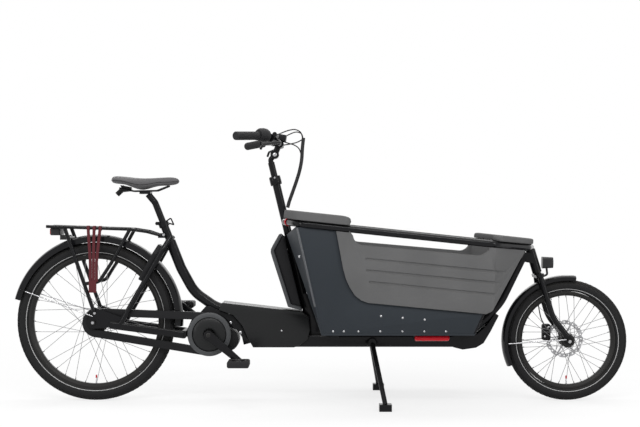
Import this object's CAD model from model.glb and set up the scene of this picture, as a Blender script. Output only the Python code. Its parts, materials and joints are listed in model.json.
"""Electric cargo bicycle: finishes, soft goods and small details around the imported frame."""
import json
import math

import bpy
from mathutils import Euler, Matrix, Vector
from mathutils.bvhtree import BVHTree

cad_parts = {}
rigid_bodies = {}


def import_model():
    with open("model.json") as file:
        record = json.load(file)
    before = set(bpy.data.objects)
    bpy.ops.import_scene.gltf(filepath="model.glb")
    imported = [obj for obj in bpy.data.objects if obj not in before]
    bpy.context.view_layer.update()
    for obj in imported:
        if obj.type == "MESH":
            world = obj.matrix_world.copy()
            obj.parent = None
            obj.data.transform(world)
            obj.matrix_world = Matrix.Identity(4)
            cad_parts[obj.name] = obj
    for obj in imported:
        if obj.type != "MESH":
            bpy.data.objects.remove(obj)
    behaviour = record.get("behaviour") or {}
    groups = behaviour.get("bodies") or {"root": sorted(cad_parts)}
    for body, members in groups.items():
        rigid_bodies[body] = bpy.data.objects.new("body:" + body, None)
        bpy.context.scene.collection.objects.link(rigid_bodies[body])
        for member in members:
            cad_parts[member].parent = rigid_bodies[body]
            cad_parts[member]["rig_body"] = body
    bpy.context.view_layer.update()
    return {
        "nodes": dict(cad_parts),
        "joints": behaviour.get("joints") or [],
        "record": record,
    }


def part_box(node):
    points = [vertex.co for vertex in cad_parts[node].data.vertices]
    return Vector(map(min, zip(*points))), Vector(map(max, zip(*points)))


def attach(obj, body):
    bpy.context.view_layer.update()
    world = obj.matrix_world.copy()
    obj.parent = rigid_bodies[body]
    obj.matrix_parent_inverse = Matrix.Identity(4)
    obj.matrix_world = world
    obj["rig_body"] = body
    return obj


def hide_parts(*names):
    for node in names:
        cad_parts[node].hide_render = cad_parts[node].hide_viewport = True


bl_info = {
    "name": "Cargo bicycle finisher",
    "version": (1, 0, 0),
    "blender": (4, 5, 0),
    "location": "View3D > Sidebar > Cargo bicycle",
    "description": "Builds the tyres, saddle, foam, controls and finishes of an electric cargo bicycle",
    "category": "Object",
}

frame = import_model()
NODE_BODY = {
    "steering_column": "handlebar_group", "stem": "handlebar_group", "front_caliper": "fork_group",
}
NODES = frame["nodes"]
JOINTS = {joint["name"]: joint for joint in frame["joints"]}
REAR_HUB = Vector(JOINTS["rear_wheel_spin"]["pos_m"])
FRONT_HUB = Vector(JOINTS["front_wheel_spin"]["pos_m"])


# ---------------------------------------------------------------- helpers for making pieces
def clear_selection():
    """Object mode with nothing selected, so that an operator acts on its own piece alone."""
    if bpy.context.object and bpy.context.object.mode != "OBJECT":
        bpy.ops.object.mode_set(mode="OBJECT")
    bpy.ops.object.select_all(action="DESELECT")


def select_only(piece):
    clear_selection()
    piece.select_set(True)
    bpy.context.view_layer.objects.active = piece


def added(name):
    """The primitive that was just added, under its own name."""
    piece = bpy.context.object
    piece.name = name
    piece.data.name = name
    return piece


def settle(piece):
    """Puts the piece's place, turn and size into its mesh."""
    select_only(piece)
    bpy.ops.object.transform_apply(location=True, rotation=True, scale=True)
    return piece


def modify(piece, kind, **values):
    """Adds a modifier with these values and applies it."""
    select_only(piece)
    modifier = piece.modifiers.new(kind.title(), kind)
    for key, value in values.items():
        setattr(modifier, key, value)
    bpy.ops.object.modifier_apply(modifier=modifier.name)
    return piece


def smooth(piece, angle=40):
    select_only(piece)
    bpy.ops.object.shade_smooth_by_angle(angle=math.radians(angle))
    return piece


def join(pieces, name):
    """Joins pieces into one mesh."""
    clear_selection()
    for piece in pieces:
        piece.select_set(True)
    bpy.context.view_layer.objects.active = pieces[0]
    if len(pieces) > 1:
        bpy.ops.object.join()
    return added(name)


def paint(piece, *materials):
    piece.data.materials.clear()
    for material in materials:
        piece.data.materials.append(material)
    return piece


def deliver(piece, body, material, replaces=(), angle=40):
    """Finishes a piece: place in its mesh, smooth faces, material, body and CAD node that it stands for."""
    settle(piece)
    smooth(piece, angle)
    if material is not None:
        paint(piece, material)
    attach(piece, body)
    if replaces:
        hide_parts(*replaces)
    return piece


def aim(direction):
    """Turn that points an object's own Z along a direction."""
    return Vector(direction).to_track_quat("Z", "Y").to_euler()


def clean(piece, gap=0.00002):
    """Merges doubled vertices and turns every face outwards."""
    select_only(piece)
    bpy.ops.object.mode_set(mode="EDIT")
    bpy.ops.mesh.select_all(action="SELECT")
    bpy.ops.mesh.remove_doubles(threshold=gap)
    bpy.ops.mesh.normals_make_consistent(inside=False)
    bpy.ops.object.mode_set(mode="OBJECT")
    return piece


def turned(name, profile, centre, axis=(0, 1, 0), steps=96):
    """Solid or ring turned about an axis from a closed profile of (radius, height along the axis)."""
    clear_selection()
    bpy.ops.mesh.primitive_circle_add(vertices=len(profile), radius=0.01)
    piece = added(name)
    for vertex, (radius, height) in zip(piece.data.vertices, profile):
        vertex.co = (radius, 0, height)
    bpy.ops.object.mode_set(mode="EDIT")
    bpy.ops.mesh.select_all(action="SELECT")
    bpy.ops.mesh.spin(steps=steps, angle=2 * math.pi, center=(0, 0, 0), axis=(0, 0, 1))
    bpy.ops.object.mode_set(mode="OBJECT")
    clean(piece)
    piece.rotation_euler = aim(axis)
    piece.location = centre
    return settle(piece)


def dome_profile(radius, height):
    """Profile of a low domed head, for turned()."""
    return [
        (0.0, -0.0004), (radius, -0.0004), (radius, height * 0.4),
        (radius * 0.78, height * 0.82), (0.0, height),
    ]


def rod(name, start, end, radius, sides=16, bevel=0.0):
    """Round rod between two points, with broken edges."""
    start, end = Vector(start), Vector(end)
    clear_selection()
    bpy.ops.mesh.primitive_cylinder_add(
        vertices=sides, radius=radius, depth=(end - start).length,
        location=(start + end) / 2, rotation=aim(end - start),
    )
    piece = settle(added(name))
    if bevel:
        modify(piece, "BEVEL", width=bevel, segments=2, limit_method="ANGLE")
    return piece


def block(name, low, high, bevel=0.002, segments=2, turn=(0, 0, 0)):
    """Box between two corners with rounded edges, turned about its middle."""
    low, high = Vector(low), Vector(high)
    clear_selection()
    bpy.ops.mesh.primitive_cube_add(size=1, location=(low + high) / 2, rotation=turn)
    piece = added(name)
    piece.scale = high - low
    settle(piece)
    if bevel:
        modify(piece, "BEVEL", width=bevel, segments=segments, limit_method="ANGLE")
    return piece


def tube(name, points, radius, ends=True, order=3, resolution=8, sides=4):
    """Round tube on a smooth line whose control points are given."""
    clear_selection()
    bpy.ops.curve.primitive_nurbs_path_add()
    line = added(name)
    line.data.splines.clear()
    spline = line.data.splines.new("NURBS")
    spline.points.add(len(points) - 1)
    for place, point in zip(spline.points, points):
        place.co = (*point, 1)
    spline.order_u = order
    spline.use_endpoint_u = True
    spline.resolution_u = resolution
    line.data.bevel_depth = radius
    line.data.bevel_resolution = sides
    line.data.use_fill_caps = ends
    select_only(line)
    bpy.ops.object.convert(target="MESH")
    return settle(added(name))


def copy_of(piece, name):
    """A copy with its own mesh."""
    twin = piece.copy()
    twin.data = piece.data.copy()
    twin.name = name
    twin.data.name = name
    bpy.context.scene.collection.objects.link(twin)
    return twin


def cad_copy(node_name, name):
    """A merged copy of a CAD node's mesh, with its flat faces whole again."""
    piece = copy_of(NODES[node_name], name)
    piece.parent = None
    for key in list(piece.keys()):
        del piece[key]
    piece.hide_render = False
    clean(piece, 0.00005)
    select_only(piece)
    bpy.ops.object.mode_set(mode="EDIT")
    bpy.ops.mesh.select_all(action="SELECT")
    bpy.ops.mesh.dissolve_limited(angle_limit=math.radians(1.0))
    bpy.ops.object.mode_set(mode="OBJECT")
    return piece


def lofted(name, rings):
    """Closed skin through rings of points, each ring with the same number of points."""
    loops = []
    for number, ring in enumerate(rings):
        clear_selection()
        bpy.ops.mesh.primitive_circle_add(vertices=len(ring), radius=0.01)
        loop = added("%s_ring_%d" % (name, number))
        for vertex, place in zip(loop.data.vertices, ring):
            vertex.co = place
        loops.append(loop)
    piece = join(loops, name)
    bpy.ops.object.mode_set(mode="EDIT")
    bpy.ops.mesh.select_all(action="SELECT")
    bpy.ops.mesh.bridge_edge_loops()
    bpy.ops.mesh.select_all(action="DESELECT")
    bpy.ops.mesh.select_non_manifold()
    bpy.ops.mesh.fill_holes(sides=0)
    bpy.ops.object.mode_set(mode="OBJECT")
    return clean(piece)


def repeated(piece, centre, axis, count):
    """The piece's mesh copied round an axis so that it is there count times in all."""
    select_only(piece)
    bpy.ops.object.mode_set(mode="EDIT")
    bpy.ops.mesh.select_all(action="SELECT")
    bpy.ops.mesh.spin(
        steps=count - 1, dupli=True, angle=2 * math.pi * (count - 1) / count, center=centre, axis=axis
    )
    bpy.ops.object.mode_set(mode="OBJECT")
    return piece


def cut(piece, cutter):
    """Takes the cutter's shape out of the piece; the cutter goes."""
    modify(piece, "BOOLEAN", operation="DIFFERENCE", solver="EXACT", object=cutter)
    bpy.data.objects.remove(cutter, do_unlink=True)
    return piece


# ---------------------------------------------------------------- shader building
def new_material(name, colour, roughness, metallic=0.0, coat=0.0, coat_roughness=0.1, specular=0.5):
    """A material with a Principled shader, ready for its own textures."""
    material = bpy.data.materials.new(name)
    material.use_nodes = True
    shader = material.node_tree.nodes["Principled BSDF"]
    shader.inputs["Base Color"].default_value = (*colour, 1)
    shader.inputs["Roughness"].default_value = roughness
    shader.inputs["Metallic"].default_value = metallic
    shader.inputs["Coat Weight"].default_value = coat
    shader.inputs["Coat Roughness"].default_value = coat_roughness
    shader.inputs["Specular IOR Level"].default_value = specular
    return material


def node(tree, kind, **settings):
    made = tree.nodes.new(kind)
    for key, value in settings.items():
        setattr(made, key, value)
    return made


def wire(tree, start, end):
    tree.links.new(start, end)


def new_group(name, inputs, outputs):
    """A shader node group with named inputs and outputs."""
    group = bpy.data.node_groups.new(name, "ShaderNodeTree")
    for label, kind, value in inputs:
        socket = group.interface.new_socket(name=label, in_out="INPUT", socket_type=kind)
        socket.default_value = value
    for label, kind in outputs:
        group.interface.new_socket(name=label, in_out="OUTPUT", socket_type=kind)
    entry = node(group, "NodeGroupInput")
    leave = node(group, "NodeGroupOutput")
    return group, entry, leave


def surface_wear_group():
    """Slow changes of tone, fine grain in the height, and a little change of gloss."""
    group, entry, leave = new_group(
        "Surface wear",
        [
            ("Colour", "NodeSocketColor", (0.1, 0.1, 0.1, 1)),
            ("Roughness", "NodeSocketFloat", 0.4),
            ("Grain size", "NodeSocketFloat", 900.0),
            ("Tone change", "NodeSocketFloat", 0.15),
            ("Dust", "NodeSocketFloat", 0.1),
        ],
        [("Colour", "NodeSocketColor"), ("Roughness", "NodeSocketFloat"), ("Height", "NodeSocketFloat")],
    )
    place = node(group, "ShaderNodeTexCoord")
    cloud = node(group, "ShaderNodeTexNoise")
    cloud.inputs["Scale"].default_value = 7.0
    cloud.inputs["Detail"].default_value = 6.0
    grain = node(group, "ShaderNodeTexNoise")
    grain.inputs["Detail"].default_value = 3.0
    wire(group, place.outputs["Object"], cloud.inputs["Vector"])
    wire(group, place.outputs["Object"], grain.inputs["Vector"])
    wire(group, entry.outputs["Grain size"], grain.inputs["Scale"])
    tone = node(group, "ShaderNodeMath", operation="SUBTRACT")
    wire(group, cloud.outputs["Fac"], tone.inputs[0])
    tone.inputs[1].default_value = 0.5
    lift = node(group, "ShaderNodeMath", operation="MULTIPLY_ADD")
    wire(group, tone.outputs[0], lift.inputs[0])
    wire(group, entry.outputs["Tone change"], lift.inputs[1])
    lift.inputs[2].default_value = 1.0
    tinted = node(group, "ShaderNodeVectorMath", operation="SCALE")
    wire(group, entry.outputs["Colour"], tinted.inputs[0])
    wire(group, lift.outputs[0], tinted.inputs["Scale"])
    facing = node(group, "ShaderNodeNewGeometry")
    upward = node(group, "ShaderNodeSeparateXYZ")
    wire(group, facing.outputs["Normal"], upward.inputs[0])
    settled = node(group, "ShaderNodeMapRange")
    settled.inputs["From Min"].default_value = 0.2
    settled.inputs["From Max"].default_value = 1.0
    wire(group, upward.outputs["Z"], settled.inputs["Value"])
    patch = node(group, "ShaderNodeMath", operation="MULTIPLY")
    wire(group, settled.outputs[0], patch.inputs[0])
    wire(group, cloud.outputs["Fac"], patch.inputs[1])
    amount = node(group, "ShaderNodeMath", operation="MULTIPLY")
    wire(group, patch.outputs[0], amount.inputs[0])
    wire(group, entry.outputs["Dust"], amount.inputs[1])
    dusted = node(group, "ShaderNodeMix", data_type="RGBA")
    dusted.inputs["B"].default_value = (0.32, 0.3, 0.27, 1)
    wire(group, amount.outputs[0], dusted.inputs["Factor"])
    wire(group, tinted.outputs[0], dusted.inputs["A"])
    wire(group, dusted.outputs["Result"], leave.inputs["Colour"])
    gloss = node(group, "ShaderNodeMath", operation="MULTIPLY_ADD")
    wire(group, tone.outputs[0], gloss.inputs[0])
    gloss.inputs[1].default_value = 0.16
    wire(group, entry.outputs["Roughness"], gloss.inputs[2])
    wire(group, gloss.outputs[0], leave.inputs["Roughness"])
    wire(group, grain.outputs["Fac"], leave.inputs["Height"])
    return group


def worn_material(name, colour, roughness, grain_size, bump, tone=0.15, dust=0.05, **shader_values):
    """A material whose colour, gloss and grain come from the Surface wear group."""
    material = new_material(name, colour, roughness, **shader_values)
    tree = material.node_tree
    shader = tree.nodes["Principled BSDF"]
    wear = node(tree, "ShaderNodeGroup")
    wear.node_tree = bpy.data.node_groups.get("Surface wear") or surface_wear_group()
    wear.inputs["Colour"].default_value = (*colour, 1)
    wear.inputs["Roughness"].default_value = roughness
    wear.inputs["Grain size"].default_value = grain_size
    wear.inputs["Tone change"].default_value = tone
    wear.inputs["Dust"].default_value = dust
    relief = node(tree, "ShaderNodeBump")
    relief.inputs["Strength"].default_value = bump
    relief.inputs["Distance"].default_value = 0.001
    wire(tree, wear.outputs["Colour"], shader.inputs["Base Color"])
    wire(tree, wear.outputs["Roughness"], shader.inputs["Roughness"])
    wire(tree, wear.outputs["Height"], relief.inputs["Height"])
    wire(tree, relief.outputs["Normal"], shader.inputs["Normal"])
    return material


# ---------------------------------------------------------------- finishes
FINISHES = {}


def finish_of(name):
    """A finish by name, made the first time it is asked for."""
    if name not in FINISHES:
        FINISHES[name] = MAKERS[name]()
    return FINISHES[name]


MAKERS = {
    "satin black paint": lambda: worn_material(
        "Satin black paint", (0.007, 0.007, 0.008), 0.24, 1400, 0.03,
        coat=0.08, coat_roughness=0.05, specular=0.1,
    ),
    "gloss black paint": lambda: worn_material(
        "Gloss black paint", (0.005, 0.005, 0.006), 0.15, 1200, 0.02,
        coat=0.12, coat_roughness=0.03, specular=0.12,
    ),
    "blue-black powder coat": lambda: worn_material(
        "Blue-black powder coat", (0.02, 0.0245, 0.03), 0.5, 1500, 0.12, tone=0.1, specular=0.18
    ),
    "edge bead": lambda: worn_material(
        "Edge bead", (0.05, 0.054, 0.06), 0.3, 1500, 0.05, coat=0.4, specular=0.5
    ),
    "grey foam": lambda: worn_material(
        "Grey foam", (0.108, 0.108, 0.109), 0.9, 330, 0.9, tone=0.35, dust=0.1, specular=0.12
    ),
    "black plastic": lambda: worn_material(
        "Black plastic", (0.009, 0.009, 0.01), 0.42, 2200, 0.1, specular=0.14
    ),
    "housing plastic": lambda: worn_material(
        "Housing plastic", (0.011, 0.0115, 0.012), 0.3, 2200, 0.05, specular=0.2
    ),
    "grey plastic": lambda: worn_material(
        "Grey plastic", (0.05, 0.052, 0.055), 0.5, 2200, 0.15, specular=0.3
    ),
    "tyre rubber": lambda: worn_material(
        "Tyre rubber", (0.009, 0.009, 0.0095), 0.75, 1800, 0.2, dust=0.06, specular=0.12
    ),
    "black rubber": lambda: worn_material(
        "Black rubber", (0.012, 0.012, 0.013), 0.62, 2000, 0.2, specular=0.25
    ),
    "black alloy": lambda: worn_material(
        "Black alloy", (0.016, 0.0155, 0.015), 0.35, 1800, 0.05, specular=0.18
    ),
    "steel": lambda: worn_material(
        "Steel", (0.42, 0.42, 0.43), 0.28, 2600, 0.05, tone=0.2, metallic=1.0
    ),
    "spoke wire": lambda: worn_material("Spoke wire", (0.2, 0.2, 0.205), 0.4, 2600, 0.05, metallic=0.6),
    "alloy": lambda: worn_material("Alloy", (0.5, 0.5, 0.51), 0.34, 2600, 0.06, tone=0.2, metallic=1.0),
    "saddle cover": lambda: worn_material(
        "Saddle cover", (0.088, 0.086, 0.09), 0.62, 900, 0.35, tone=0.2, specular=0.25
    ),
    "gloss red": lambda: worn_material(
        "Gloss red", (0.42, 0.002, 0.01), 0.2, 1500, 0.02, coat=0.12, specular=0.15
    ),
    "bordeaux rubber": lambda: worn_material(
        "Bordeaux rubber", (0.085, 0.018, 0.022), 0.6, 1300, 0.2, specular=0.12
    ),
    "lamp black": lambda: worn_material(
        "Lamp black", (0.012, 0.012, 0.013), 0.3, 2000, 0.05, specular=0.3
    ),
    "clear lens": lambda: worn_material("Clear lens", (0.78, 0.79, 0.8), 0.12, 2000, 0.02, coat=0.8),
    "screen glass": lambda: worn_material(
        "Screen glass", (0.01, 0.011, 0.012), 0.08, 2000, 0.0, coat=1.0
    ),
}

SLOT_FINISH = {
    "frame_black": "satin black paint",
    "shell_blue_black": "blue-black powder coat",
    "foam_grey": "grey foam",
    "gloss_black": "gloss black paint",
    "plastic_black": "black plastic",
    "cover_grey": "grey plastic",
    "tyre_black": "tyre rubber",
    "rim_black": "black alloy",
    "spoke_steel": "spoke wire",
    "hub_black": "black alloy",
    "bare_steel": "steel",
    "alloy": "alloy",
    "rubber_black": "black rubber",
    "saddle_grey": "saddle cover",
    "red_gloss": "gloss red",
    "strap_bordeaux": "bordeaux rubber",
    "lamp_black": "lamp black",
}


NODE_FINISH = {
    "box_nose": "gloss black paint",
    "battery_case": "housing plastic",
    "rear_axle": "black alloy",
    "front_axle": "black alloy",
}


GUARD_STAYS = {"rear_mudguard": (REAR_HUB, 0.319), "front_mudguard": (FRONT_HUB, 0.25)}


def mix_input(tree, shader, label, mask, value):
    """Blends one input of the shader towards a value where the mask is 1."""
    socket = shader.inputs[label]
    colour = socket.type == "RGBA"
    blend = node(tree, "ShaderNodeMix", data_type="RGBA" if colour else "FLOAT")
    blend.inputs["B"].default_value = (*value, 1) if colour else value
    if colour:
        blend.inputs["A"].default_value = socket.default_value
    else:
        blend.inputs["A"].default_value = socket.default_value
    if socket.links:
        wire(tree, socket.links[0].from_socket, blend.inputs["A"])
    wire(tree, mask, blend.inputs["Factor"])
    wire(tree, blend.outputs["Result"], socket)


def guard_material(name, hub, reach):
    """Gloss black mudguard whose stays, nearer the hub than this reach, are plain steel."""
    material = worn_material(
        name.replace("_", " ").title(), (0.006, 0.006, 0.007), 0.2, 1200, 0.02,
        coat=0.12, coat_roughness=0.05, specular=0.12,
    )
    tree = material.node_tree
    shader = tree.nodes["Principled BSDF"]
    ring = node(tree, "ShaderNodeGroup")
    ring.node_tree = ring_mask_group()
    ring.inputs["Centre"].default_value = hub
    ring.inputs["Radius"].default_value = 0.0
    ring.inputs["Half width"].default_value = reach
    mix_input(tree, shader, "Base Color", ring.outputs["Mask"], (0.45, 0.45, 0.46))
    mix_input(tree, shader, "Metallic", ring.outputs["Mask"], 1.0)
    return material


def sleeve_material():
    """Black sleeve with a fine wrap round the cables."""
    material = worn_material("Cable sleeve", (0.011, 0.011, 0.012), 0.55, 1600, 0.1, specular=0.3)
    tree = material.node_tree
    place = node(tree, "ShaderNodeTexCoord")
    wrap = node(tree, "ShaderNodeTexWave", bands_direction="Z")
    wrap.inputs["Scale"].default_value = 75.0
    wrap.inputs["Distortion"].default_value = 0.6
    relief = node(tree, "ShaderNodeBump")
    relief.inputs["Strength"].default_value = 0.5
    relief.inputs["Distance"].default_value = 0.001
    wire(tree, place.outputs["Object"], wrap.inputs["Vector"])
    wire(tree, wrap.outputs["Fac"], relief.inputs["Height"])
    wire(tree, relief.outputs["Normal"], tree.nodes["Principled BSDF"].inputs["Normal"])
    return material


class BIKE_OT_finishes(bpy.types.Operator):
    """Gives every node of the frame its finish"""

    bl_idname = "bike.finishes"
    bl_label = "Finishes"

    def execute(self, context):
        for row in frame["record"]["subparts"]:
            name = row["node"]
            piece = NODES[name]
            if name.endswith("mudguard"):
                finish = guard_material(name, *GUARD_STAYS[name])
            elif name == "cable_bundle":
                finish = sleeve_material()
            else:
                finish = finish_of(NODE_FINISH.get(name, SLOT_FINISH[row["material_slot"]]))
            paint(piece, finish)
            smooth(piece, 32)
        return {"FINISHED"}


# ---------------------------------------------------------------- wheels
# hub, body, tyre radius, section radius, rim inner radius, tread repeats
WHEELS = {
    "rear": (REAR_HUB, "rear_wheel_group", 0.3345, 0.0275, 0.2645, 92),
    "front": (FRONT_HUB, "front_wheel_group", 0.255, 0.026, 0.188, 72),
}
SPOKES = 36


class BIKE_OT_tyres(bpy.types.Operator):
    """Makes the tyres with their tread blocks and reflective sidewall line"""

    bl_idname = "bike.tyres"
    bl_label = "Tyres"

    def execute(self, context):
        sizes = context.scene.bike_sizes
        for name, (hub, body, radius, section, rim, repeats) in WHEELS.items():
            carcass = self.carcass(name, hub, radius, section, sizes.tread_depth)
            tread = self.tread(name, hub, radius, section, repeats, sizes.tread_depth)
            tyre = join([carcass, tread], name + "_tyre_moulded")
            finish = tyre_material(name, hub, 0.2925 if name == "rear" else 0.2165)
            deliver(tyre, body, finish, [name + "_tyre"], angle=30)
        return {"FINISHED"}

    def carcass(self, name, hub, radius, section, depth):
        """The tyre's casing, with moulded ribs on both side walls and a band under the tread."""
        middle = radius - section
        bead = math.radians(146)
        profile = []
        steps = 44
        for number in range(steps + 1):
            angle = -bead + 2 * bead * number / steps
            lift = -depth if abs(angle) < math.radians(62) else 0.0
            if 100 < abs(math.degrees(angle)) < 108 or 126 < abs(math.degrees(angle)) < 133:
                lift = -0.0009
            reach = section + lift
            profile.append((middle + reach * math.cos(angle), reach * math.sin(angle)))
        return turned(name + "_casing", profile, hub, steps=180)

    def tread(self, name, hub, radius, section, repeats, depth):
        """One pitch of tread blocks, repeated round the tyre."""
        pitch = 2 * math.pi * radius / repeats
        middle = radius - section
        blocks = []
        for row, length, width in (
            (-52, 0.62, 0.0052), (-38, 0.78, 0.0062), (-22, 0.72, 0.0064), (-7.5, 0.8, 0.006),
            (7.5, 0.8, 0.006), (22, 0.72, 0.0064), (38, 0.78, 0.0062), (52, 0.62, 0.0052),
        ):
            across = math.radians(row)
            reach = section - depth / 2 - 0.00005
            skew = math.copysign(math.radians(14), row) if abs(row) > 10 else math.radians(row * 3)
            offset = pitch * (0.5 if abs(row) in (22, 52) else 0.0)
            turn = offset / radius
            clear_selection()
            bpy.ops.mesh.primitive_cube_add(size=1)
            lug = added("%s_lug" % name)
            lug.scale = (pitch * length, width, depth)
            settle(lug)
            for vertex in lug.data.vertices:
                if vertex.co.z > 0:
                    vertex.co.x *= 0.86
                    vertex.co.y *= 0.82
            lug.rotation_euler = (-across, 0, 0)
            lug.data.transform(Euler((0, 0, skew)).to_matrix().to_4x4())
            settle(lug)
            lug.location = (0, reach * math.sin(across), middle + reach * math.cos(across))
            settle(lug)
            lug.rotation_euler = (0, turn, 0)
            lug.location = hub
            blocks.append(settle(lug))
        row_of_lugs = join(blocks, name + "_tread")
        return repeated(row_of_lugs, hub, (0, 1, 0), repeats)


def ring_mask_group():
    """1 on a thin ring about a wheel's axis and 0 elsewhere, with worn edges."""
    if "Ring mask" in bpy.data.node_groups:
        return bpy.data.node_groups["Ring mask"]
    group, entry, leave = new_group(
        "Ring mask",
        [
            ("Centre", "NodeSocketVector", (0, 0, 0)),
            ("Radius", "NodeSocketFloat", 0.29),
            ("Half width", "NodeSocketFloat", 0.001),
        ],
        [("Mask", "NodeSocketFloat"), ("Distance", "NodeSocketFloat")],
    )
    place = node(group, "ShaderNodeTexCoord")
    shifted = node(group, "ShaderNodeVectorMath", operation="SUBTRACT")
    wire(group, place.outputs["Object"], shifted.inputs[0])
    wire(group, entry.outputs["Centre"], shifted.inputs[1])
    flat = node(group, "ShaderNodeVectorMath", operation="MULTIPLY")
    flat.inputs[1].default_value = (1, 0, 1)
    wire(group, shifted.outputs[0], flat.inputs[0])
    reach = node(group, "ShaderNodeVectorMath", operation="LENGTH")
    wire(group, flat.outputs[0], reach.inputs[0])
    away = node(group, "ShaderNodeMath", operation="SUBTRACT")
    wire(group, reach.outputs["Value"], away.inputs[0])
    wire(group, entry.outputs["Radius"], away.inputs[1])
    off = node(group, "ShaderNodeMath", operation="ABSOLUTE")
    wire(group, away.outputs[0], off.inputs[0])
    within = node(group, "ShaderNodeMath", operation="LESS_THAN")
    wire(group, off.outputs[0], within.inputs[0])
    wire(group, entry.outputs["Half width"], within.inputs[1])
    wire(group, within.outputs[0], leave.inputs["Mask"])
    wire(group, reach.outputs["Value"], leave.inputs["Distance"])
    return group


def tyre_material(name, hub, line_radius):
    """Tyre rubber with a pale reflective line on its side walls."""
    material = worn_material(
        name.title() + " tyre rubber", (0.0095, 0.0095, 0.01), 0.75, 1800, 0.2, dust=0.1, specular=0.2
    )
    tree = material.node_tree
    shader = tree.nodes["Principled BSDF"]
    ring = node(tree, "ShaderNodeGroup")
    ring.node_tree = ring_mask_group()
    ring.inputs["Centre"].default_value = hub
    ring.inputs["Radius"].default_value = line_radius
    ring.inputs["Half width"].default_value = 0.0011
    base = shader.inputs["Base Color"].links[0].from_socket
    lined = node(tree, "ShaderNodeMix", data_type="RGBA")
    lined.inputs["B"].default_value = (0.42, 0.42, 0.42, 1)
    wire(tree, ring.outputs["Mask"], lined.inputs["Factor"])
    wire(tree, base, lined.inputs["A"])
    wire(tree, lined.outputs["Result"], shader.inputs["Base Color"])
    return material


class BIKE_OT_wheel_fittings(bpy.types.Operator):
    """Makes the spoke nipples, valves, hub flange teeth and axle caps"""

    bl_idname = "bike.wheel_fittings"
    bl_label = "Wheel fittings"

    def execute(self, context):
        for name, (hub, body, radius, section, rim, repeats) in WHEELS.items():
            nipples = []
            for number in range(4):
                angle = math.radians(number * 360 / SPOKES)
                side = 1 if number % 2 else -1
                out = Vector((math.cos(angle), 0, math.sin(angle)))
                start = hub + out * (rim - 0.008) + Vector((0, side * 0.0042, 0))
                end = hub + out * (rim + 0.001) + Vector((0, side * 0.0034, 0))
                nipples.append(rod("%s_nipple_%d" % (name, number), start, end, 0.0018, 6))
            nipple_set = repeated(join(nipples, name + "_nipples"), hub, (0, -1, 0), SPOKES // 4)
            deliver(nipple_set, body, finish_of("black alloy"))
            low = hub - Vector((0, 0, rim + 0.001))
            stem = turned(
                name + "_valve",
                [(0.0, 0.0), (0.0046, 0.0), (0.0046, 0.003), (0.003, 0.004), (0.003, 0.018), (0.0022, 0.019),
                 (0.0022, 0.026), (0.0, 0.026)],
                low, axis=(0, 0, 1), steps=16,
            )
            deliver(stem, body, finish_of("steel"))
            cap = turned(
                name + "_valve_cap",
                [(0.0, 0.024), (0.0036, 0.024), (0.0036, 0.034), (0.0026, 0.037), (0.0, 0.038)],
                low, axis=(0, 0, 1), steps=16,
            )
            deliver(cap, body, finish_of("gloss red"))
        self.front_hub_flange()
        self.axle_nuts()
        return {"FINISHED"}

    def front_hub_flange(self):
        """Toothed cap of the front hub on the drive side."""
        face = FRONT_HUB + Vector((0, -0.036, 0))
        disc = turned(
            "front_hub_disc",
            [(0.007, -0.002), (0.0255, -0.002), (0.027, 0.0), (0.027, 0.005), (0.017, 0.007), (0.007, 0.007)],
            face, axis=(0, -1, 0), steps=48,
        )
        tooth = block(
            "front_hub_tooth", (FRONT_HUB.x + 0.0262, -0.0405, FRONT_HUB.z - 0.0016),
            (FRONT_HUB.x + 0.0296, -0.0345, FRONT_HUB.z + 0.0016), 0.0004, 1,
        )
        teeth = repeated(tooth, FRONT_HUB, (0, 1, 0), 24)
        cap = join([disc, teeth], "front_hub_cap")
        deliver(cap, "front_wheel_group", finish_of("black alloy"))
        collar = turned(
            "front_hub_collar",
            [(0.007, 0.0065), (0.0125, 0.0065), (0.0125, 0.0075), (0.0105, 0.0085), (0.007, 0.0085)],
            face, axis=(0, -1, 0), steps=32,
        )
        deliver(collar, "front_wheel_group", finish_of("steel"))

    def axle_nuts(self):
        """Domed ends on the axles."""
        for name, hub, body, outer in (
            ("rear", REAR_HUB, "frame_group", 0.0795), ("front", FRONT_HUB, "fork_group", 0.0715)
        ):
            for side_name, side in (("right", -1), ("left", 1)):
                dome = turned(
                    "%s_%s_axle_end" % (name, side_name), dome_profile(0.0072, 0.0045),
                    hub + Vector((0, side * outer, 0)), axis=(0, side, 0), steps=24,
                )
                deliver(dome, body, finish_of("steel"))


# ---------------------------------------------------------------- soft goods
def line_points(points, resolution=8):
    """Points of the smooth line whose control points are given."""
    clear_selection()
    bpy.ops.curve.primitive_nurbs_path_add()
    line = bpy.context.object
    line.data.splines.clear()
    spline = line.data.splines.new("NURBS")
    spline.points.add(len(points) - 1)
    for place, point in zip(spline.points, points):
        place.co = (*point, 1)
    spline.order_u = 3
    spline.use_endpoint_u = True
    spline.resolution_u = resolution
    select_only(line)
    bpy.ops.object.convert(target="MESH")
    found = [vertex.co.copy() for vertex in bpy.context.object.data.vertices]
    bpy.data.objects.remove(bpy.context.object, do_unlink=True)
    return found


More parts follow.
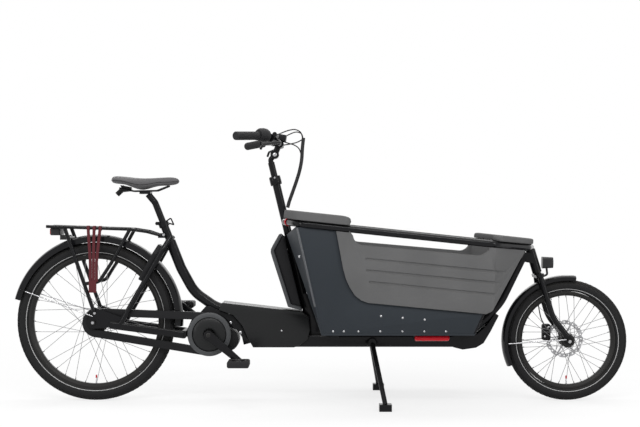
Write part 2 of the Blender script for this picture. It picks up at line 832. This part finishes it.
class BIKE_OT_saddle(bpy.types.Operator):
    """Makes the crowned saddle with its seams and base"""

    bl_idname = "bike.saddle"
    bl_label = "Saddle"

    # place along the bicycle, half width, top, underside, in metres
    stations = (
        (-0.8755, 0.034, 0.940, 0.926), (-0.872, 0.082, 0.9465, 0.919), (-0.862, 0.107, 0.9495, 0.916),
        (-0.842, 0.117, 0.9495, 0.915), (-0.818, 0.113, 0.9475, 0.911), (-0.792, 0.099, 0.9445, 0.900),
        (-0.766, 0.078, 0.942, 0.889), (-0.74, 0.059, 0.9412, 0.8905), (-0.712, 0.0425, 0.9422, 0.900),
        (-0.682, 0.0352, 0.9443, 0.908), (-0.652, 0.0312, 0.9462, 0.907), (-0.628, 0.0278, 0.9462, 0.910),
        (-0.611, 0.0232, 0.9432, 0.9135), (-0.6025, 0.0172, 0.9385, 0.9185), (-0.598, 0.0085, 0.932, 0.9255),
    )

    def execute(self, context):
        cover = lofted("saddle_cover", [self.ring(*station) for station in self.stations])
        modify(cover, "SUBSURF", levels=2, render_levels=2)
        cover = deliver(cover, "frame_group", finish_of("saddle cover"), ["saddle"], angle=60)
        for side_name, side in (("right", -1), ("left", 1)):
            route = [
                (x, side * (width * 0.995 + 0.0004), top * 0.42 + low * 0.58)
                for x, width, top, low in self.stations[1:-1]
            ]
            seam = tube("saddle_seam_" + side_name, route, 0.0011, sides=2)
            deliver(seam, "frame_group", finish_of("black rubber"))
        return {"FINISHED"}

    def ring(self, x, width, top, low):
        """Cross section: a crowned top with a shallow channel, full sides and a flatter underside."""
        edge = top * 0.42 + low * 0.58
        points = []
        count = 28
        for number in range(count):
            angle = 2 * math.pi * number / count
            across = width * math.copysign(abs(math.cos(angle)) ** 0.75, math.cos(angle))
            rise = abs(math.sin(angle)) ** 0.85
            if math.sin(angle) >= 0:
                channel = 0.0022 * math.exp(-((across / 0.011) ** 2))
                height = edge + (top - edge) * rise - (channel if -0.83 < x < -0.64 else channel * 0.3)
            else:
                height = edge - (edge - low) * rise * 0.9
            points.append((x, across, height))
        return points


class BIKE_OT_rim_pads(bpy.types.Operator):
    """Makes the foam pads that lie on the top rail"""

    bl_idname = "bike.rim_pads"
    bl_label = "Rim pads"

    fall = 0.106
    rail_height = 0.7422

    def execute(self, context):
        rear_line = [
            (0.122, -0.3), (0.04, -0.3), (-0.04, -0.3), (-0.086, -0.3), (-0.099, -0.262), (-0.118, -0.198),
            (-0.131, -0.148), (-0.127, -0.075), (-0.122, 0.0),
        ]
        front_line = [
            (0.704, -0.292), (0.725, -0.266), (0.775, -0.203), (0.82, -0.147), (0.858, -0.098),
            (0.871, -0.055), (0.88, 0.0),
        ]
        for name, line, height, node_name in (
            ("rear_pad", rear_line, 0.036, "rear_rim_pad"), ("front_pad", front_line, 0.024, "front_rim_pad")
        ):
            whole = line + [(x, -y) for x, y in reversed(line[:-1])]
            lift = 0.0143 + height / 2
            normal = Vector((self.fall, 0, 1)).normalized()
            route = [Vector((x, y, self.rail_height - self.fall * x)) + normal * lift for x, y in whole]
            places = line_points(route, 6)
            pad = lofted(name, self.rings(places, normal, height))
            if node_name == "rear_rim_pad":
                self.notch(pad)
            modify(pad, "SUBSURF", levels=1, render_levels=1)
            pad = deliver(pad, "frame_group", finish_of("grey foam"), [node_name], angle=50)
        return {"FINISHED"}

    def rings(self, places, normal, height):
        rings = []
        run = [0.0]
        for before, after in zip(places, places[1:]):
            run.append(run[-1] + (after - before).length)
        for number, place in enumerate(places):
            before = places[max(number - 1, 0)]
            after = places[min(number + 1, len(places) - 1)]
            forward = (after - before).normalized()
            sideways = normal.cross(forward)
            slope = min(1.0, 0.8 + 0.2 * min(run[number], run[-1] - run[number]) / 0.01)
            rings.append([
                place + sideways * across + normal * (up if up < 0 else (up + height / 2) * slope - height / 2)
                for across, up in self.section(height)
            ])
        return rings

    def section(self, height):
        """Pad's cross section: flat underside, rounded shoulders, slightly crowned top."""
        half = 0.023
        low = -height / 2
        high = height / 2
        return [
            (-half + 0.004, low), (0.0, low), (half - 0.004, low), (half - 0.0006, low + 0.0014),
            (half, low + 0.006), (half, high - 0.008), (half - 0.0015, high - 0.003),
            (half - 0.006, high - 0.0006), (0.0, high), (-half + 0.006, high - 0.0006),
            (-half + 0.0015, high - 0.003), (-half, high - 0.008), (-half, low + 0.006),
            (-half + 0.0006, low + 0.0014),
        ]

    def notch(self, pad):
        """Clears the steering column's tube."""
        lean = 0.2407
        low = Vector((-0.1842 - lean * (0.7 - 0.9104), 0, 0.7))
        high = Vector((-0.1842 - lean * (0.85 - 0.9104), 0, 0.85))
        cut(pad, rod("column_room", low, high, 0.0178, 32))


class BIKE_OT_side_foam(bpy.types.Operator):
    """Makes the foam side panels with their long grooves and small edge bevels"""

    bl_idname = "bike.side_foam"
    bl_label = "Side foam"

    # ends of each groove on the flat of the panel and round its front facet, X and Z
    grooves = (
        ((0.181, 0.611), (0.7, 0.5605), (0.752, 0.5555)),
        ((0.184, 0.565), (0.7, 0.516), (0.735, 0.5127)),
        ((0.195, 0.519), (0.69, 0.4697), (0.704, 0.4686)),
    )

    def execute(self, context):
        for side_name, side in (("right", -1), ("left", 1)):
            name = side_name + "_window_panel"
            panel = cad_copy(name, side_name + "_foam")
            self.offset_skin(panel)
            modify(panel, "BEVEL", width=0.0035, segments=2, limit_method="ANGLE", angle_limit=math.radians(24))
            for rear, corner, front in self.grooves:
                y = side * 0.3115
                turn = side * (0.3115 - max(front[0] - 0.7, 0) * 1.2)
                first = rod("groove", (rear[0], y, rear[1]), (corner[0], y, corner[1]), 0.0058, 12, 0.001)
                cut(panel, first)
                second = rod("groove", (corner[0] - 0.004, y, corner[1] + 0.0004), (front[0], turn, front[1]),
                             0.0058, 12, 0.001)
                cut(panel, second)
            deliver(panel, "frame_group", finish_of("grey foam"), [name], angle=35)
        return {"FINISHED"}

    def offset_skin(self, panel):
        """Offsets every face of the panel and insets the whole skin; this cuts no band round the outline."""
        select_only(panel)
        bpy.ops.object.mode_set(mode="EDIT")
        bpy.ops.mesh.select_mode(type="FACE")
        bpy.ops.mesh.select_all(action="SELECT")
        bpy.ops.transform.shrink_fatten(value=-0.0075, use_even_offset=True)
        bpy.ops.mesh.inset(thickness=0.019, depth=0.0075, use_even_offset=True)
        bpy.ops.mesh.select_mode(type="VERT")
        bpy.ops.object.mode_set(mode="OBJECT")


class BIKE_OT_eased_panels(bpy.types.Operator):
    """Remakes the sheet and block parts of the frame with softly rounded edges"""

    bl_idname = "bike.eased_panels"
    bl_label = "Eased panels"

    edges = {
        "side_shells": 0.0016, "box_back": 0.0016, "box_nose": 0.0016, "box_floor": 0.0012,
        "battery_case": 0.006, "storage_pocket": 0.004, "pocket_liner": 0.003, "motor_cradle": 0.004,
        "under_beam": 0.002, "cranks": 0.0015, "ring_lock": 0.003, "chain_guard": 0.004, "headlight": 0.003,
        "right_pedal": 0.003, "left_pedal": 0.003, "display_unit": 0.003, "front_caliper": 0.003,
        "rear_light": 0.002,
    }

    def execute(self, context):
        slots = {row["node"]: row["material_slot"] for row in frame["record"]["subparts"]}
        for name, width in self.edges.items():
            piece = cad_copy(name, name + "_eased")
            if name in ("side_shells", "box_nose"):
                self.draw_in_knee(piece)
            modify(piece, "BEVEL", width=width, segments=2, limit_method="ANGLE", angle_limit=math.radians(32))
            body = NODES[name]["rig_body"]
            finish = finish_of(NODE_FINISH.get(name, SLOT_FINISH[slots[name]]))
            deliver(piece, body, finish, [name], 32)
        return {"FINISHED"}

    def draw_in_knee(self, piece):
        """Brings the front corner of the sheet, where it turns upwards, back behind the struts."""
        for vertex in piece.data.vertices:
            if vertex.co.x > 0.64 and 0.37 < vertex.co.z < 0.41:
                vertex.co.x -= 0.028


# ---------------------------------------------------------------- fittings
def seated(node_name, x, z, side):
    """Y of the outermost surface of a node at this X and Z, on the side given."""
    piece = NODES[node_name]
    corners = [piece.matrix_world @ vertex.co for vertex in piece.data.vertices]
    tree = BVHTree.FromPolygons(corners, [tuple(face.vertices) for face in piece.data.polygons])
    place = tree.ray_cast(Vector((x, side * 2.0, z)), Vector((0, -side, 0)))[0]
    if place is None:
        raise RuntimeError("%s has no surface at X %.4f, Z %.4f, side %d" % (node_name, x, z, side))
    return place.y


class BIKE_OT_fasteners(bpy.types.Operator):
    """Seats the rivets, screws and bolts on the faces that carry them"""

    bl_idname = "bike.fasteners"
    bl_label = "Fasteners"
    lower_row = (0.052, 0.095, 0.153, 0.240, 0.328, 0.415, 0.501)
    upper_row = ((0.243, 0.383), (0.329, 0.376), (0.417, 0.369))
    # node, X, Z, radius, height, both sides
    table = (
        *(("side_shells", x, 0.322, 0.0036, 0.0012, True) for x in lower_row),
        *(("side_shells", x, z, 0.004, 0.0015, True) for x, z in upper_row),
        ("side_shells", -0.025, 0.4751, 0.0055, 0.002, True),
        ("box_back", -0.082, 0.6179, 0.0055, 0.002, True),
        ("motor_cradle", -0.3776, 0.3307, 0.0068, 0.003, True),
        ("motor_cradle", -0.3357, 0.2887, 0.0068, 0.003, True),
        ("battery_case", -0.161, 0.2994, 0.0035, 0.0012, True),
        ("rear_rack", -0.6618, 0.7008, 0.0065, 0.004, True),
        ("chainstays", -0.9446, 0.3735, 0.0065, 0.004, True),
        ("steering_column", -0.1918, 0.942, 0.004, 0.003, False),
        ("stem", -0.1912, 1.0405, 0.0085, 0.003, True),
        ("front_caliper", 0.962, 0.266, 0.0045, 0.002, False),
        ("front_caliper", 0.976, 0.305, 0.0045, 0.002, False),
    )

    def execute(self, context):
        groups = {}
        for number, (node_name, x, z, radius, height, both) in enumerate(self.table):
            for side in (-1, 1) if both else (-1,):
                place = (x, seated(node_name, x, z, side), z)
                head = turned("fastener_%d" % number, dome_profile(radius, height), place, (0, side, 0), 16)
                groups.setdefault(NODE_BODY.get(node_name, "frame_group"), []).append(head)
        for body, heads in groups.items():
            deliver(join(heads, body + "_fasteners"), body, finish_of("steel"))
        return {"FINISHED"}


class BIKE_OT_drive_covers(bpy.types.Operator):
    """Makes the chain ring cover, the crank bolts and the motor's cooling ribs"""

    bl_idname = "bike.drive_covers"
    bl_label = "Drive covers"

    def execute(self, context):
        middle = Vector(JOINTS["crank_spin"]["pos_m"])
        rim = turned(
            "chain_ring_cover_rim",
            [(0.0725, -0.001), (0.0915, -0.001), (0.0915, 0.002), (0.088, 0.0045), (0.0755, 0.0065),
             (0.0725, 0.0055)],
            middle + Vector((0, -0.058, 0)), axis=(0, -1, 0), steps=96,
        )
        deliver(rim, "frame_group", finish_of("grey plastic"))
        dish = turned(
            "chain_ring_cover_dish",
            [(0.0245, 0.0), (0.0722, 0.0), (0.0722, 0.0035), (0.069, 0.0055), (0.064, 0.009), (0.03, 0.0105),
             (0.0245, 0.0095)],
            middle + Vector((0, -0.055, 0)), axis=(0, -1, 0), steps=96,
        )
        deliver(dish, "frame_group", finish_of("housing plastic"))
        bolts = []
        for side in (-1, 1):
            place = middle + Vector((0, side * 0.0985, 0))
            bolts.append(turned("crank_bolt", dome_profile(0.0095, 0.003), place, (0, side, 0), 24))
        deliver(join(bolts, "crank_bolts"), "crank_group", finish_of("black alloy"))
        ribs = []
        for number in range(4):
            x = -0.382 + number * 0.009
            face = seated("motor", x + 0.002, 0.245, -1)
            low, high = (x, face - 0.004, 0.232), (x + 0.004, face + 0.002, 0.258)
            ribs.append(block("motor_rib_%d" % number, low, high, 0.001, 1))
        deliver(join(ribs, "motor_ribs"), "frame_group", finish_of("black alloy"))
        return {"FINISHED"}


class BIKE_OT_grips(bpy.types.Operator):
    """Makes the ribbed grips, their end caps and the shifter barrel"""

    bl_idname = "bike.grips"
    bl_label = "Grips"

    def execute(self, context):
        made = []
        for name, side in (("right", -1), ("left", 1)):
            inner, outer = Vector((-0.254, side * 0.240, 1.105)), Vector((-0.331, side * 0.345, 1.0975))
            length = (outer - inner).length
            profile = [(0.0, 0.0), (0.0176, 0.0), (0.0186, 0.001), (0.0186, 0.003), (0.0168, 0.0045)]
            count = 18
            pitch = (length - 0.012) / count
            for number in range(count):
                at = 0.006 + number * pitch
                profile += [(0.0172, at), (0.0172, at + pitch * 0.6), (0.0161, at + pitch * 0.7)]
            profile += [
                (0.0174, length - 0.004), (0.017, length + 0.001), (0.0145, length + 0.0035),
                (0.0, length + 0.0038),
            ]
            made.append(turned(name + "_grip", profile, inner, outer - inner, 32))
        low, high = Vector((-0.216, -0.178, 1.110)), Vector((-0.250, -0.226, 1.112))
        run = (high - low).length
        barrel = turned(
            "shifter_barrel",
            [(0.0, 0.0), (0.019, 0.0), (0.024, 0.004), (0.0275, 0.014), (0.028, 0.03), (0.026, run - 0.012),
             (0.0215, run - 0.003), (0.0185, run), (0.0, run)],
            low, high - low, 32,
        )
        made.append(barrel)
        grips = join(made, "ribbed_grips")
        deliver(grips, "handlebar_group", finish_of("black rubber"), ["grips"], angle=30)
        return {"FINISHED"}


class BIKE_OT_lamps_and_details(bpy.types.Operator):
    """Makes the lenses, display glass, column collar, edge beads, rail rings and pedal rubbers"""

    bl_idname = "bike.lamps_and_details"
    bl_label = "Lamps and details"

    def execute(self, context):
        lens = turned(
            "headlight_lens",
            [(0.0, -0.002), (0.0165, -0.002), (0.0165, 0.0015), (0.012, 0.004), (0.0, 0.005)],
            (0.988, 0, 0.583), (1, 0, 0), 32,
        )
        deliver(lens, "fork_group", finish_of("clear lens"))
        tail = block("rear_lens", (-1.1395, -0.036, 0.7035), (-1.1365, 0.036, 0.7265), 0.001)
        deliver(tail, "frame_group", finish_of("gloss red"))
        glass = block("display_glass", (-0.188, -0.036, 1.1245), (-0.142, 0.036, 1.1265), 0.0008, 2,
                      (0, math.atan(0.17), 0))
        deliver(glass, "handlebar_group", finish_of("screen glass"))
        along = Vector((-0.2407, 0, 1)).normalized()
        collar = turned(
            "column_collar",
            [(0.0168, 0.0), (0.0225, 0.0), (0.0245, 0.003), (0.0245, 0.034), (0.0225, 0.037), (0.0168, 0.037)],
            Vector((-0.1848, 0, 0.9125)), along, 48,
        )
        deliver(collar, "handlebar_group", finish_of("satin black paint"))
        for name, side in (("right", -1), ("left", 1)):
            upper, lower = (-0.0904, side * 0.2985, 0.733), (-0.0198, side * 0.2985, 0.42)
            bead = rod(name + "_edge_bead", upper, lower, 0.0045, 12, 0.001)
            deliver(bead, "frame_group", finish_of("edge bead"))
            ring = turned(
                name + "_rail_ring", [(0.013, -0.004), (0.0165, -0.004), (0.0165, 0.004), (0.013, 0.004)],
                (-0.130, side * 0.190, 0.757), (-0.344, -side * 0.939, 0.036), 32,
            )
            deliver(ring, "frame_group", finish_of("gloss red"))
            low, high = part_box(name + "_pedal")
            strips = []
            for number in range(4):
                x = low[0] + 0.012 + number * (high[0] - low[0] - 0.024) / 3
                for z in (low[2], high[2]):
                    start, end = (x, low[1] + 0.022, z), (x, high[1] - 0.022, z)
                    strips.append(rod("pedal_strip", start, end, 0.0025, 8, 0.0008))
            rubbers = join(strips, name + "_pedal_rubbers")
            deliver(rubbers, name + "_pedal_group", finish_of("black rubber"))
        return {"FINISHED"}


# ---------------------------------------------------------------- stage
def backdrop_rays(tree):
    """1 for rays of the camera, of reflections and of transmission, which see the plain backdrop."""
    path = node(tree, "ShaderNodeLightPath")
    first = node(tree, "ShaderNodeMath", operation="MAXIMUM")
    second = node(tree, "ShaderNodeMath", operation="MAXIMUM")
    wire(tree, path.outputs["Is Camera Ray"], first.inputs[0])
    wire(tree, path.outputs["Is Glossy Ray"], first.inputs[1])
    wire(tree, first.outputs[0], second.inputs[0])
    wire(tree, path.outputs["Is Transmission Ray"], second.inputs[1])
    return second.outputs[0]


class BIKE_OT_stage(bpy.types.Operator):
    """Adds the floor, the lights, the world and the camera"""

    bl_idname = "bike.stage"
    bl_label = "Stage"

    def execute(self, context):
        sizes = context.scene.bike_stage
        clear_selection()
        bpy.ops.mesh.primitive_plane_add(size=60, location=(0, 0, 0))
        floor = added("studio_floor")
        settle(floor)
        paint(floor, self.floor_material())
        self.lamp("key_softbox", (0.4, -3.4, 4.2), (0, 0, 0.4), (4.5, 2.2), 70)
        self.lamp("key_strip", (-0.6, -3.6, 3.4), (0, 0, 0.4), (4.5, 0.14), 60)
        self.lamp("fill_softbox", (-3.6, -3.0, 1.8), (-0.4, 0, 0.5), (0.5, 2.4), 30)
        self.lamp("front_softbox", (3.8, -2.6, 2.0), (0.5, 0, 0.5), (0.5, 2.4), 34)
        self.lamp("top_strip", (0, 0.6, 4.6), (0, 0, 0.5), (5.0, 1.2), 80)
        self.lamp("back_softbox", (0, 4.2, 2.6), (0, 0, 0.5), (4.5, 1.8), 55)
        world = bpy.data.worlds.new("Studio")
        context.scene.world = world
        world.use_nodes = True
        tree = world.node_tree
        light = tree.nodes["Background"]
        light.inputs["Color"].default_value = (1, 1, 1, 1)
        light.inputs["Strength"].default_value = 0.45
        seen = node(tree, "ShaderNodeBackground")
        seen.inputs["Color"].default_value = (1, 1, 1, 1)
        seen.inputs["Strength"].default_value = 1.0
        choose = node(tree, "ShaderNodeMixShader")
        wire(tree, backdrop_rays(tree), choose.inputs["Fac"])
        wire(tree, light.outputs[0], choose.inputs[1])
        wire(tree, seen.outputs[0], choose.inputs[2])
        wire(tree, choose.outputs[0], tree.nodes["World Output"].inputs["Surface"])
        bpy.ops.object.camera_add(location=(0, -sizes.distance, sizes.height), rotation=(math.pi / 2, 0, 0))
        camera = bpy.context.object
        camera.name = "studio_camera"
        camera.data.lens = sizes.lens
        camera.data.sensor_width = 36
        camera.data.clip_end = 100
        context.scene.camera = camera
        context.scene.view_settings.view_transform = "Standard"
        return {"FINISHED"}

    def lamp(self, name, place, aim, size, power):
        clear_selection()
        bpy.ops.object.light_add(type="AREA", location=place)
        lamp = bpy.context.object
        lamp.name = name
        lamp.data.shape = "RECTANGLE"
        lamp.data.size, lamp.data.size_y = size
        lamp.data.energy = power
        lamp.rotation_euler = (Vector(aim) - Vector(place)).to_track_quat("-Z", "Y").to_euler()

    def floor_material(self):
        """White floor that keeps a soft shadow: mostly its own white to the camera, plain white to light."""
        material = new_material("Studio floor", (0.9, 0.9, 0.9), 0.9)
        tree = material.node_tree
        shader = tree.nodes["Principled BSDF"]
        shader.inputs["Specular IOR Level"].default_value = 0.0
        glow = node(tree, "ShaderNodeEmission")
        glow.inputs["Strength"].default_value = 1.0
        place = node(tree, "ShaderNodeTexCoord")
        reach = node(tree, "ShaderNodeVectorMath", operation="LENGTH")
        spread = node(tree, "ShaderNodeMapRange", interpolation_type="SMOOTHSTEP")
        spread.inputs["From Min"].default_value = 1.3
        spread.inputs["From Max"].default_value = 3.2
        spread.inputs["To Min"].default_value = 0.74
        spread.inputs["To Max"].default_value = 1.0
        wire(tree, place.outputs["Object"], reach.inputs[0])
        wire(tree, reach.outputs["Value"], spread.inputs["Value"])
        share = node(tree, "ShaderNodeMath", operation="MULTIPLY")
        wire(tree, spread.outputs[0], share.inputs[1])
        mixed = node(tree, "ShaderNodeMixShader")
        wire(tree, backdrop_rays(tree), share.inputs[0])
        wire(tree, share.outputs[0], mixed.inputs["Fac"])
        wire(tree, shader.outputs[0], mixed.inputs[1])
        wire(tree, glow.outputs[0], mixed.inputs[2])
        wire(tree, mixed.outputs[0], tree.nodes["Material Output"].inputs["Surface"])
        return material


class BikeStage(bpy.types.PropertyGroup):
    """Camera sizes"""

    distance: bpy.props.FloatProperty(
        name="Camera distance", description="From the bicycle's middle plane", default=4.7, unit="LENGTH"
    )
    height: bpy.props.FloatProperty(
        name="Camera height", description="Above the floor", default=0.7914, unit="LENGTH"
    )
    lens: bpy.props.FloatProperty(
        name="Lens", description="Focal length in millimetres", default=62.2
    )


class BikeSizes(bpy.types.PropertyGroup):
    """Sizes of the pieces that a user may change"""

    tread_depth: bpy.props.FloatProperty(
        name="Tread depth", description="Height of the tyre's tread blocks", default=0.0018, unit="LENGTH"
    )


STEPS = (
    "finishes",
    "tyres",
    "wheel_fittings",
    "saddle",
    "rim_pads",
    "side_foam",
    "eased_panels",
    "fasteners",
    "drive_covers",
    "grips",
    "lamps_and_details",
    "stage",
)


class BIKE_PT_panel(bpy.types.Panel):
    """Lists the steps that build the bicycle"""

    bl_idname = "BIKE_PT_panel"
    bl_label = "Cargo bicycle"
    bl_space_type = "VIEW_3D"
    bl_region_type = "UI"
    bl_category = "Cargo bicycle"

    def draw(self, context):
        for step in STEPS:
            self.layout.operator("bike." + step)


CLASSES = (
    BikeStage,
    BikeSizes,
    BIKE_OT_finishes,
    BIKE_OT_tyres,
    BIKE_OT_wheel_fittings,
    BIKE_OT_saddle,
    BIKE_OT_rim_pads,
    BIKE_OT_side_foam,
    BIKE_OT_eased_panels,
    BIKE_OT_fasteners,
    BIKE_OT_drive_covers,
    BIKE_OT_grips,
    BIKE_OT_lamps_and_details,
    BIKE_OT_stage,
    BIKE_PT_panel,
)


def register():
    for entry in CLASSES:
        bpy.utils.register_class(entry)
    bpy.types.Scene.bike_stage = bpy.props.PointerProperty(type=BikeStage)
    bpy.types.Scene.bike_sizes = bpy.props.PointerProperty(type=BikeSizes)


def unregister():
    del bpy.types.Scene.bike_sizes
    del bpy.types.Scene.bike_stage
    for entry in reversed(CLASSES):
        bpy.utils.unregister_class(entry)


def main():
    register()
    for step in STEPS:
        getattr(bpy.ops.bike, step)()


if __name__ == "__main__":
    main()
